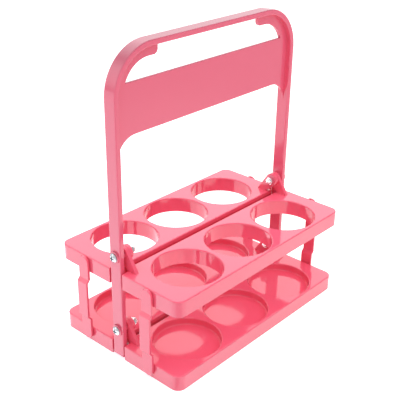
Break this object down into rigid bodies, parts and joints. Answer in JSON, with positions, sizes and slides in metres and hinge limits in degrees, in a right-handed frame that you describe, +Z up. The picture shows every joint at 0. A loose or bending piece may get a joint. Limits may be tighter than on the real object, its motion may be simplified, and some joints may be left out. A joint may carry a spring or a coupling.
{
  "type": "folding six bottle carrier",
  "caption": "Rigid plastic bottle carrier with a panelled handle frame and two decks of half trays that fold up on pivot screws, tied together by end links.",
  "frame": {"origin": "bottom centre of the unfolded carrier, on the surface that it stands on", "axes": "+Z up, +X along the row of three bottles, +Y from the front row to the rear row"},
  "size_m": [0.279, 0.1708, 0.3252],
  "materials": {
    "pink_plastic": "glossy moulded",
    "bright_steel": "bright zinc plated"
  },
  "bodies": {
    "handle": {"handle_frame": "pink_plastic", "upper_left_screw": "bright_steel", "upper_left_nut": "bright_steel", "upper_right_screw": "bright_steel", "upper_right_nut": "bright_steel", "lower_left_screw": "bright_steel", "lower_left_nut": "bright_steel", "lower_right_screw": "bright_steel", "lower_right_nut": "bright_steel"},
    "front_lower": {"front_lower_tray": "pink_plastic"},
    "front_upper": {"front_upper_tray": "pink_plastic"},
    "front_left_link": {"front_left_link": "pink_plastic"},
    "front_right_link": {"front_right_link": "pink_plastic"},
    "rear_lower": {"rear_lower_tray": "pink_plastic"},
    "rear_upper": {"rear_upper_tray": "pink_plastic"},
    "rear_left_link": {"rear_left_link": "pink_plastic"},
    "rear_right_link": {"rear_right_link": "pink_plastic"}
  },
  "joints": [
    {"name": "front_lower_fold", "type": "hinge", "parent": "handle", "child": "front_lower", "pos_m": [0, 0, 0.0332], "axis": [-1, 0, 0], "range_deg": [0, 90]},
    {"name": "front_upper_fold", "type": "hinge", "parent": "handle", "child": "front_upper", "pos_m": [0, 0, 0.1189], "axis": [-1, 0, 0], "range_deg": [0, 90]},
    {"name": "front_left_link_swing", "type": "hinge", "parent": "front_upper", "child": "front_left_link", "pos_m": [0, -0.0456, 0.0959], "axis": [-1, 0, 0], "range_deg": [-90, 0]},
    {"name": "front_right_link_swing", "type": "hinge", "parent": "front_upper", "child": "front_right_link", "pos_m": [0, -0.0456, 0.0959], "axis": [-1, 0, 0], "range_deg": [-90, 0]},
    {"name": "rear_lower_fold", "type": "hinge", "parent": "handle", "child": "rear_lower", "pos_m": [0, 0, 0.0332], "axis": [1, 0, 0], "range_deg": [0, 90]},
    {"name": "rear_upper_fold", "type": "hinge", "parent": "handle", "child": "rear_upper", "pos_m": [0, 0, 0.1189], "axis": [1, 0, 0], "range_deg": [0, 90]},
    {"name": "rear_left_link_swing", "type": "hinge", "parent": "rear_upper", "child": "rear_left_link", "pos_m": [0, 0.0456, 0.0959], "axis": [1, 0, 0], "range_deg": [-90, 0]},
    {"name": "rear_right_link_swing", "type": "hinge", "parent": "rear_upper", "child": "rear_right_link", "pos_m": [0, 0.0456, 0.0959], "axis": [1, 0, 0], "range_deg": [-90, 0]}
  ],
  "couplings": [
    {"joint": "front_upper_fold", "follows": "front_lower_fold", "ratio": 1},
    {"joint": "front_left_link_swing", "follows": "front_lower_fold", "ratio": -1},
    {"joint": "front_right_link_swing", "follows": "front_lower_fold", "ratio": -1},
    {"joint": "rear_upper_fold", "follows": "rear_lower_fold", "ratio": 1},
    {"joint": "rear_left_link_swing", "follows": "rear_lower_fold", "ratio": -1},
    {"joint": "rear_right_link_swing", "follows": "rear_lower_fold", "ratio": -1}
  ]
}
